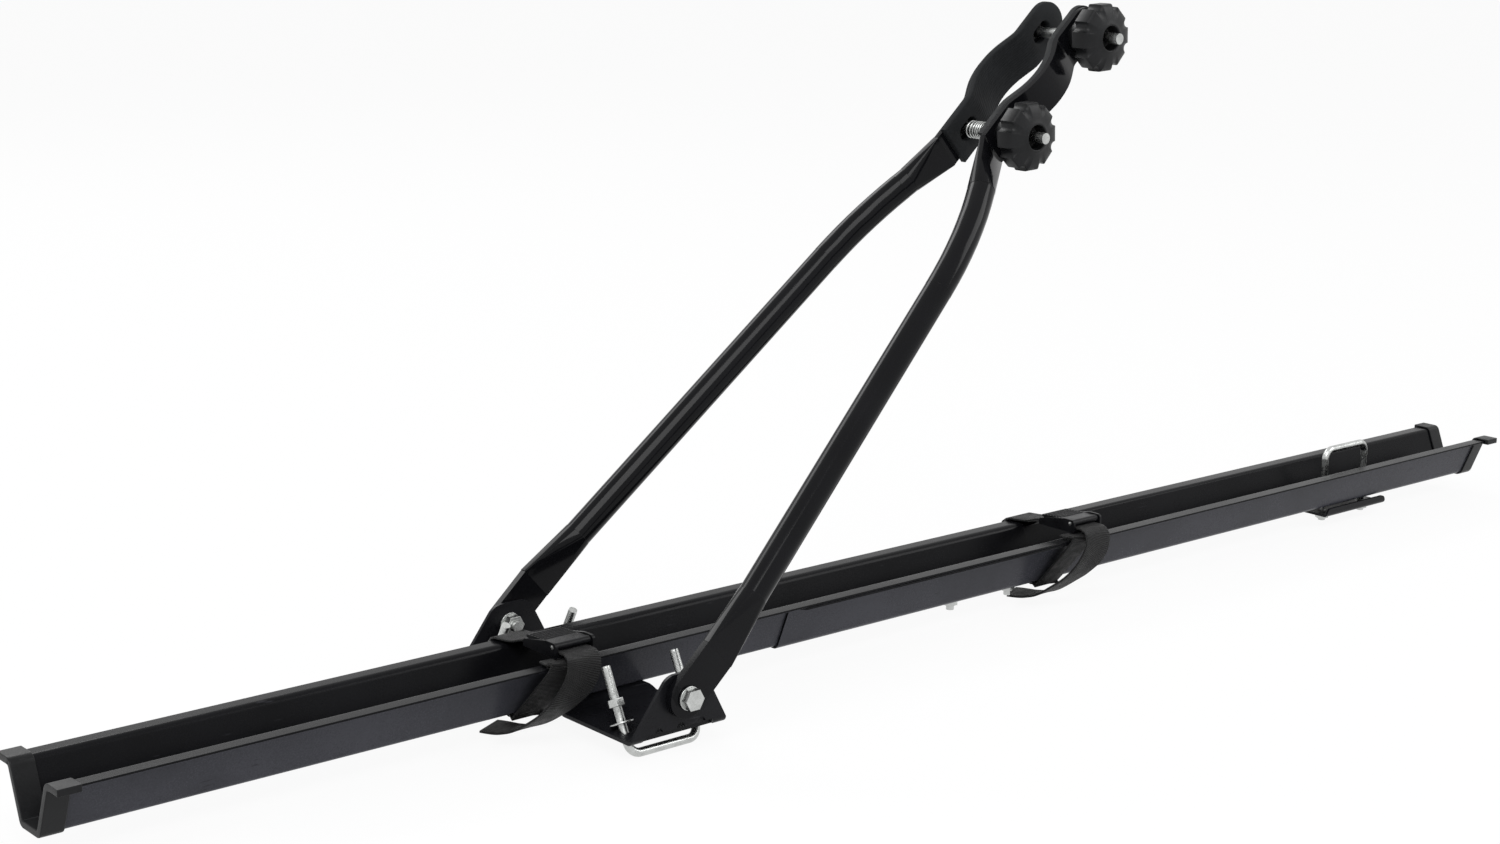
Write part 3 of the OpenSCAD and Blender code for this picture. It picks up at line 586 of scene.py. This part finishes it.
def strap_line(strap_x, under):
    """Middle line of a strap: from the buckle's bar over the near lip, round the channel, back
    across its top through the buckle, and on as a loose tail that turns in under the channel."""
    route = [
        (14, -26, 41.6), (13, -35.6, 41.4), (12, -37.8, 39.4), (11, -37, 36.6),
        (1, -15, 5.4 - under), (1, -11.5, 3.6 - under), (6.5, 11.5, 3.6 - under),
        (8, 15, 5.4 - under), (20, 37, 36.6), (20, 37.8, 39.4), (20, 35.6, 41.4), (22, 20, 42.6),
        (25, 4, 46.2), (26, -30, 46.4), (25, -38.5, 45.6), (23, -44, 41.5), (19, -46.5, 33),
        (12, -45, 23), (6, -39, 13), (2, -29, 4), (-3, -18, -3 - under / 2),
        (-9, -7, -6.2 - under / 2), (-16, 7, -6.8 - under / 2)]
    return [(strap_x + x, y, z) for x, y, z in route]


class CARRIER_OT_finishes(bpy.types.Operator):
    """Give every part of the frame its finish and rounded edges"""

    bl_idname = "carrier.finishes"
    bl_label = "Finishes"

    def execute(self, context):
        make_materials(context.scene)
        for name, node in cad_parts.items():
            finish, width = NODE_FINISHES.get(name, ("zinc", PLATED_EDGE))
            if not node.material_slots:
                node.data.materials.append(MATERIALS[finish])
            for slot in node.material_slots:
                slot.material = MATERIALS[finish]
            if width:
                round_edges(node, width)
        return {"FINISHED"}


class CARRIER_OT_straps(bpy.types.Operator):
    """Build the two webbing straps"""

    bl_idname = "carrier.straps"
    bl_label = "Webbing straps"

    def execute(self, context):
        sizes = context.scene.carrier_straps
        half, thick = sizes.width / MM / 2, sizes.thickness / MM / 2
        # The webbing's section, flat with softly rounded edges
        edge = 0.55
        across = [-half, -half + edge * 0.3, -half + edge, -half / 3, half / 3, half - edge,
                  half - edge * 0.3, half]
        lift = [0.25, 0.75, 1, 1, 1, 1, 0.75, 0.25]
        top = [(x, thick * h) for x, h in zip(across, lift)]
        section = top[::-1] + [(x, -y) for x, y in top]
        for name, strap_x, under in STRAP_PLACES:
            line = smooth_curve(strap_line(strap_x, under), 1.6)
            wide, up = line_axes(line, (1, 0, 0))
            verts, faces, uvs = sweep(line, wide, up, section)
            strap = add_piece(name + "_webbing", verts, faces, MATERIALS["webbing"], "base", uvs)
            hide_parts(name + "_strap")
        return {"FINISHED"}


def lobe_radius(sizes, angle):
    """Outline of the star: an octagon of broad flat lobes with a round grip at each corner."""
    step = 2 * pi / sizes.lobes
    off = (angle - LOBE_TURN + step / 2) % step - step / 2
    flat = sizes.across_flats / MM / 2 / cos(off)
    corner = step / 2 - abs(off)
    reach, grip = sizes.notch_reach / MM, sizes.notch_radius / MM
    inside = grip ** 2 - (reach * sin(corner)) ** 2
    notch = reach * cos(corner) - sqrt(inside) if inside > 0 else 99.0
    # A soft minimum rounds the edges of the grips
    near, far = min(flat, notch), max(flat, notch)
    return near - 0.35 * max(0.0, 1 - (far - near) / 1.2) ** 2


def knob_mesh(sizes, at):
    """A star knob with its boss, domed face and deep recess, on the bolt at the given place."""
    r = sizes.across_flats / MM / 2
    around, b, front = sizes.lobes * 24, BOSS_LENGTH, BOSS_LENGTH + STAR_DEPTH
    # Rings from the boss's back round to the bottom of the recess: radius, distance out, and how
    # much of the lobes shows there
    rings = [(KNOB_BORE, 0, 0), (11.6, 0, 0), (12.6, 0.2, 0), (13, 0.8, 0), (13, b - 2.2, 0),
             (13.2, b - 1.0, 0), (14.2, b - 0.25, 0.1), (16.5, b, 0.35), (r - 3, b + 0.05, 0.8),
             (r - 1.2, b + 0.35, 1), (r - 0.35, b + 1.0, 1), (r, b + 2.2, 1),
             (r + 0.05, b + STAR_DEPTH * 0.4, 1), (r, front - 6.6, 1), (r - 0.3, front - 5.5, 1),
             (r - 1.1, front - 4.5, 1), (r - 2.6, front - 3.6, 0.9), (r - 5, front - 2.6, 0.55),
             (r - 8, front - 1.7, 0.15), (13.6, front - 1.05, 0), (11.4, front - 0.5, 0),
             (10.4, front - 0.12, 0), (9.7, front, 0), (9.25, front - 0.15, 0),
             (9.0, front - 0.6, 0), (8.9, front - 4, 0), (8.8, front - 9.4, 0),
             (8.3, front - 9.95, 0), (KNOB_BORE, front - 10, 0)]
    verts, faces = [], []
    for radius, out, show in rings:
        for i in range(around):
            angle = 2 * pi * i / around
            rr = radius + show * (lobe_radius(sizes, angle) - r)
            verts.append(arm_point(at + rr * cos(angle), KNOB_BACK - out, rr * sin(angle)))
    count = len(rings)
    for k in range(count):
        for i in range(around):
            j, n = (i + 1) % around, (k + 1) % count
            faces.append((k * around + i, k * around + j, n * around + j, n * around + i))
    return verts, faces


def jaw_line(jaw_y, side):
    """Middle line of a jaw in s and y: two flats with a rounded bulge between them."""
    first, peak, last = JAW_CORNERS
    corners = [(JAW_ENDS[0], jaw_y), (first, jaw_y), (peak, jaw_y + side * JAW_BULGE),
               (last, jaw_y), (JAW_ENDS[1], jaw_y)]
    line = [corners[0]]
    for before, corner, after, radius in zip(corners, corners[1:], corners[2:], JAW_RADII):
        heading = atan2(corner[1] - before[1], corner[0] - before[0])
        turn = atan2(after[1] - corner[1], after[0] - corner[0]) - heading
        trim = radius * tan(abs(turn) / 2)
        for k in range(17):
            bend = turn * k / 16
            ahead = radius * sin(abs(bend)) - trim
            aside = radius * (1 - cos(bend)) * (1 if turn > 0 else -1)
            line.append((corner[0] + ahead * cos(heading) - aside * sin(heading),
                         corner[1] + ahead * sin(heading) + aside * cos(heading)))
    line.append(corners[-1])
    return np.array(line)


def pad_outlines(start, half, inset):
    """Loops of a pad's edge and of its two bolt slots, in s and z, moved into the rubber."""
    low, centre, r = start + inset, PAD_END - half, half - inset
    along = np.linspace(low, centre, 50)[:-1]
    edge = [(s, -r) for s in along]
    edge += [(centre + r * cos(a), r * sin(a)) for a in np.linspace(-pi / 2, pi / 2, 25)[:-1]]
    edge += [(s, r) for s in np.linspace(centre, low, 50)[:-1]]
    edge += [(low, z) for z in np.linspace(r, -r, 12)[:-1]]
    slots = []
    for at in CLAMP_BOLTS:
        size = SLOT_RADIUS + inset
        slots.append([(at + (SLOT_HALF if abs(a) < pi / 2 else -SLOT_HALF) + size * cos(a),
                       size * sin(a)) for a in (np.arange(40) + 0.5) * pi / 20 - pi])
    return [edge] + slots


def pad_mesh(sizes, jaw_y, side, start, width):
    """A rubber pad along the inside of a jaw: ribbed on the bulge, square at its lower and round
    at its upper end, with slots for the clamp bolts."""
    half = width / 2
    points, drops, edges = [], [], []
    # The edge is rounded by rings that lie deeper the nearer they are to it
    for inset, drop in ((0.0, 0.8), (0.3, 0.25), (0.8, 0.0)):
        for loop in pad_outlines(start, half, inset):
            first = len(points)
            points += loop
            drops += [drop] * len(loop)
            if inset == 0:
                edges += [(first + i, first + (i + 1) % len(loop)) for i in range(len(loop))]
    pitch, depth = sizes.rib_pitch / MM, sizes.rib_depth / MM
    low, high = CLAMP_BOLTS[0] + RIB_MARGIN, CLAMP_BOLTS[1] - RIB_MARGIN
    for z in np.arange(-half + 1.6, half - 1.59, pitch / 4):
        groove = (0.5 - 0.5 * cos(2 * pi * z / pitch)) ** 1.5
        for s in np.arange(low, high, 1.9):
            points.append((s, z))
            drops.append(depth * groove * min(1.0, (s - low) / 4, (high - s) / 4))
    flat, _, triangles, origin, _, _ = delaunay_2d_cdt(
        [Vector(p) for p in points], edges, [], 0, 1e-4)
    drop = [drops[o[0]] for o in origin]

    def in_rubber(tri):
        s = sum(flat[i].x for i in tri) / 3
        z = sum(flat[i].y for i in tri) / 3
        end = PAD_END - half
        if s < start or abs(z) > half or (s > end and hypot(s - end, z) > half):
            return False
        return all(hypot(max(0.0, abs(s - at) - SLOT_HALF), z) > SLOT_RADIUS
                   for at in CLAMP_BOLTS)

    kept = [tuple(tri) for tri in triangles if in_rubber(tri)]
    line = jaw_line(jaw_y, side)
    s_all = np.array([v.x for v in flat])
    y_all = np.interp(s_all, line[:, 0], line[:, 1])
    slope = (np.interp(s_all + 0.8, line[:, 0], line[:, 1])
             - np.interp(s_all - 0.8, line[:, 0], line[:, 1])) / 1.6
    length = np.sqrt(1 + slope ** 2)
    verts = []
    for reach in (PAD_BACK + PAD_THICKNESS - np.array(drop), np.full(len(flat), PAD_BACK)):
        off = -side * reach
        verts += [arm_point(s, y, v.y) for s, y, v in
                  zip(s_all - off * slope / length, y_all + off / length, flat)]
    count = len(flat)
    faces = kept + [tuple(count + i for i in tri[::-1]) for tri in kept]
    once = {}
    for tri in kept:
        for i in range(3):
            a, b = tri[i], tri[(i + 1) % 3]
            if (b, a) in once:
                del once[(b, a)]
            else:
                once[(a, b)] = True
    faces += [(b, a, a + count, b + count) for a, b in once]
    return verts, faces


class CARRIER_OT_pads(bpy.types.Operator):
    """Mould the clamp's two ribbed rubber pads"""

    bl_idname = "carrier.pads"
    bl_label = "Jaw pads"

    def execute(self, context):
        sizes = context.scene.carrier_pads
        for name, jaw_y, side, pad in (("near", NEAR_JAW_Y, -1, NEAR_PAD),
                                       ("far", FAR_JAW_Y, 1, FAR_PAD)):
            verts, faces = pad_mesh(sizes, jaw_y, side, *pad)
            pad = add_piece(name + "_ribbed_pad", verts, faces, MATERIALS["rubber"],
                            name + "_upright", sharp=50)
            settle_normals(pad)
            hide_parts(name + "_jaw_pad")
        return {"FINISHED"}


class CARRIER_OT_knobs(bpy.types.Operator):
    """Build the two star knobs"""

    bl_idname = "carrier.knobs"
    bl_label = "Star knobs"

    def execute(self, context):
        for name, at in zip(("lower", "upper"), CLAMP_BOLTS):
            verts, faces = knob_mesh(context.scene.carrier_knobs, at)
            knob = add_piece(name + "_star_knob", verts, faces, MATERIALS["plastic"],
                             name + "_knob_turn", sharp=50)
            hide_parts(name + "_knob")
        return {"FINISHED"}


class CARRIER_OT_spring(bpy.types.Operator):
    """Wind the spring that parts the clamp's pads"""

    bl_idname = "carrier.spring"
    bl_label = "Clamp spring"

    def execute(self, context):
        sizes = context.scene.carrier_hardware
        wire, turns = sizes.spring_wire / MM / 2, sizes.spring_turns
        low, high = SPRING_NEAR + wire, SPRING_FAR - wire
        radius, steps = SPRING_RADIUS, int(turns * 36)
        line, inward = [], []
        for i in range(steps + 1):
            t = i / steps
            angle = 2 * pi * turns * t
            # The end turns lie closer, as on a coil with closed ends
            rise = t + 0.045 * sin(2 * pi * t)
            line.append(arm_point(CLAMP_BOLTS[0] + radius * cos(angle), low + (high - low) * rise,
                                  radius * sin(angle)))
            centre = arm_point(CLAMP_BOLTS[0], low + (high - low) * rise)
            inward.append(np.array(centre) - np.array(line[-1]))
        line = np.array(line)
        across, up = line_axes(line, np.array(inward))
        section = [(wire * cos(2 * pi * k / 12), wire * sin(2 * pi * k / 12)) for k in range(12)]
        verts, faces, _ = sweep(line, across, up, section)
        spring = add_piece("clamp_coil", verts, faces, MATERIALS["spring"], sharp=60)
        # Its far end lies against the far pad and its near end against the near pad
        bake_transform(spring)
        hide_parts("clamp_spring")
        return {"FINISHED"}


def thread_ridge(start, axis, length, radius, pitch, height):
    """The raised ridge of a screw thread round a rod."""
    start, axis = np.asarray(start, float), np.asarray(axis, float)
    axis = axis / np.linalg.norm(axis)
    side = np.cross(axis, (0.3, 0.5, 0.9))
    side /= np.linalg.norm(side)
    other = np.cross(axis, side)
    per_turn = 18
    steps = int(length / pitch * per_turn)
    verts, faces = [], []
    for i in range(steps + 1):
        angle = 2 * pi * i / per_turn
        out = side * cos(angle) + other * sin(angle)
        fade = min(1.0, i / per_turn, (steps - i) / per_turn)
        middle = start + axis * (length * i / steps)
        foot, crest = radius - 0.08, radius + height * fade
        verts.extend([middle - axis * pitch * 0.42 + out * foot,
                      middle - axis * pitch * 0.08 + out * crest,
                      middle + axis * pitch * 0.08 + out * crest,
                      middle + axis * pitch * 0.42 + out * foot])
    for i in range(steps):
        for k in range(3):
            a = i * 4 + k
            faces.append((a, a + 1, a + 5, a + 4))
    return verts, faces


class CARRIER_OT_threads(bpy.types.Operator):
    """Wind the screw threads of the U-bolts and clamp bolts"""

    bl_idname = "carrier.threads"
    bl_label = "Screw threads"

    def execute(self, context):
        sizes = context.scene.carrier_hardware
        small, large = sizes.small_pitch / MM, sizes.large_pitch / MM
        roof = []
        for side in (-1, 1):
            lean = np.array((0, -side * sin(ROOF_LEAN), cos(ROOF_LEAN)))
            for end in (-1, 1):
                foot = np.array((end * LEG_HALF, side * ROOF_BAR_HALF, ROOF_BAR_Z))
                roof.append(thread_ridge(foot + lean * LEG_PLAIN, lean,
                                         ROOF_LEG - LEG_PLAIN - 0.4, LEG_RADIUS, small, 0.12))
        rear = [thread_ridge((REAR_U_X + end * LEG_HALF, 0, REAR_BAR_Z - LEG_PLAIN), (0, 0, -1),
                             REAR_LEG - LEG_PLAIN - 0.4, LEG_RADIUS, small, 0.12)
                for end in (-1, 1)]
        base = joined(roof + rear)
        threads = add_piece("rod_threads", *base, MATERIALS["zinc"], "base", sharp=25)
        bolts = [thread_ridge(arm_point(at, BOLT_THREAD_START), (0, -1, 0),
                              BOLT_THREAD_START - BOLT_TIP - 1.0, BOLT_RADIUS, large, 0.04)
                 for at in CLAMP_BOLTS]
        threads = add_piece("clamp_bolt_threads", *joined(bolts), MATERIALS["zinc"],
                            "far_upright", sharp=25)
        return {"FINISHED"}


class CARRIER_OT_studio(bpy.types.Operator):
    """Set the floor, lights, world and camera"""

    bl_idname = "carrier.studio"
    bl_label = "Studio"

    def execute(self, context):
        scene, sizes = context.scene, context.scene.carrier_studio
        self.place_camera(scene, sizes)
        self.lay_floor(scene, sizes)
        self.light_world(scene)
        # Softboxes: place, target, power and size in metres
        boxes = [("key", (-1.6, -1.6, 2.6), (0.2, 0.0, 0.2), sizes.key_power, (2.4, 1.6)),
                 ("fill", (2.4, -1.8, 2.0), (0.4, 0.0, 0.2), sizes.fill_power, (1.6, 1.6)),
                 ("rim", (0.2, 2.6, 2.2), (0.3, 0.0, 0.2), sizes.fill_power, (2.2, 1.0))]
        for name, place, target, power, size in boxes:
            lamp = bpy.data.lights.new(name + " softbox", "AREA")
            lamp.shape, lamp.size, lamp.size_y, lamp.energy = "RECTANGLE", *size, power
            box = bpy.data.objects.new(name + " softbox", lamp)
            box.location = place
            box.rotation_euler = (Vector(target) - Vector(place)).to_track_quat(
                "-Z", "Y").to_euler()
            scene.collection.objects.link(box)
        scene.view_settings.view_transform = "Standard"
        return {"FINISHED"}

    def place_camera(self, scene, sizes):
        """The photograph's viewpoint, from the lines of the channel and bracket."""
        yaw, pitch, roll = 0.7154549, 0.2270743, -0.0167252
        ahead = Vector((sin(yaw) * cos(pitch), cos(yaw) * cos(pitch), -sin(pitch)))
        right = Vector((cos(yaw), -sin(yaw), 0))
        down = ahead.cross(right)
        across = cos(roll) * right + sin(roll) * down
        below = cos(roll) * down - sin(roll) * right
        data = bpy.data.cameras.new("view")
        data.sensor_width, data.lens, data.clip_end = 36.0, sizes.lens, 100.0
        camera = bpy.data.objects.new("view", data)
        turn = Matrix((across, -below, -ahead)).transposed()
        camera.matrix_world = Matrix.Translation((-0.94546, -1.2474, 0.54966)) @ turn.to_4x4()
        scene.collection.objects.link(camera)
        scene.camera = camera

    def lay_floor(self, scene, sizes):
        """A pale floor, almost white to the camera and in reflections, that keeps the shadow."""
        mesh = bpy.data.meshes.new("floor")
        reach, height = 40.0, FLOOR_Z * MM - 0.0003
        mesh.from_pydata([(-reach, -reach, height), (reach, -reach, height),
                          (reach, reach, height), (-reach, reach, height)], [], [(0, 1, 2, 3)])
        floor = bpy.data.objects.new("floor", mesh)
        material = bpy.data.materials.new("studio floor")
        material.use_nodes = True
        tree = material.node_tree
        shader = tree.nodes["Principled BSDF"]
        shader.inputs["Base Color"].default_value = (*sizes.floor_colour, 1)
        shader.inputs["Roughness"].default_value = 0.9
        shader.inputs["Specular IOR Level"].default_value = 0.1
        white = tree.nodes.new("ShaderNodeEmission")
        whiteness = math_node(tree, "MULTIPLY", self.seen_rays(tree), 0.92)
        mix = node_in(tree, "ShaderNodeMixShader", [
            (0, whiteness), (1, shader.outputs["BSDF"]), (2, white.outputs["Emission"])])
        tree.links.new(mix.outputs[0], tree.nodes["Material Output"].inputs["Surface"])
        mesh.materials.append(material)
        scene.collection.objects.link(floor)

    def seen_rays(self, tree):
        """1 for rays from the camera, from a glossy surface or through glass."""
        path = tree.nodes.new("ShaderNodeLightPath")
        return math_node(tree, "MAXIMUM", path.outputs["Is Camera Ray"], math_node(
            tree, "MAXIMUM", path.outputs["Is Glossy Ray"], path.outputs["Is Transmission Ray"]))

    def light_world(self, scene):
        """A white surround that gives only plain soft light."""
        world = bpy.data.worlds.new("studio")
        world.use_nodes = True
        tree = world.node_tree
        soft = tree.nodes["Background"]
        soft.inputs["Color"].default_value = (1, 1, 1, 1)
        soft.inputs["Strength"].default_value = 0.55
        white = tree.nodes.new("ShaderNodeBackground")
        white.inputs["Color"].default_value = (1, 1, 1, 1)
        white.inputs["Strength"].default_value = 1.0
        mix = node_in(tree, "ShaderNodeMixShader", [
            (0, self.seen_rays(tree)), (1, soft.outputs[0]), (2, white.outputs[0])])
        tree.links.new(mix.outputs[0], tree.nodes["World Output"].inputs["Surface"])
        scene.world = world


STEPS = (CARRIER_OT_studio, CARRIER_OT_finishes, CARRIER_OT_straps, CARRIER_OT_pads,
         CARRIER_OT_knobs, CARRIER_OT_spring, CARRIER_OT_threads)


class CARRIER_PT_panel(bpy.types.Panel):
    """Lists the carrier's sizes and building steps"""

    bl_label = "Bike Carrier"
    bl_idname = "CARRIER_PT_panel"
    bl_space_type = "VIEW_3D"
    bl_region_type = "UI"
    bl_category = "Bike Carrier"

    def draw(self, context):
        for name in GROUPS:
            sizes, box = getattr(context.scene, name), self.layout.box()
            for key in sizes.__annotations__:
                box.prop(sizes, key)
        for step in STEPS:
            self.layout.operator(step.bl_idname)


GROUPS = {"carrier_straps": CarrierStraps, "carrier_knobs": CarrierKnobs,
          "carrier_hardware": CarrierHardware, "carrier_pads": CarrierPads,
          "carrier_studio": CarrierStudio}
CLASSES = (*GROUPS.values(), *STEPS, CARRIER_PT_panel)


def register():
    for cls in CLASSES:
        bpy.utils.register_class(cls)
    for name, group in GROUPS.items():
        setattr(bpy.types.Scene, name, PointerProperty(type=group))


def unregister():
    for name in GROUPS:
        delattr(bpy.types.Scene, name)
    for cls in reversed(CLASSES):
        bpy.utils.unregister_class(cls)


def main():
    register()
    for step in STEPS:
        family, name = step.bl_idname.split(".")
        if getattr(getattr(bpy.ops, family), name)() != {"FINISHED"}:
            raise RuntimeError(step.bl_label + " didn't finish")


if __name__ == "__main__":
    main()
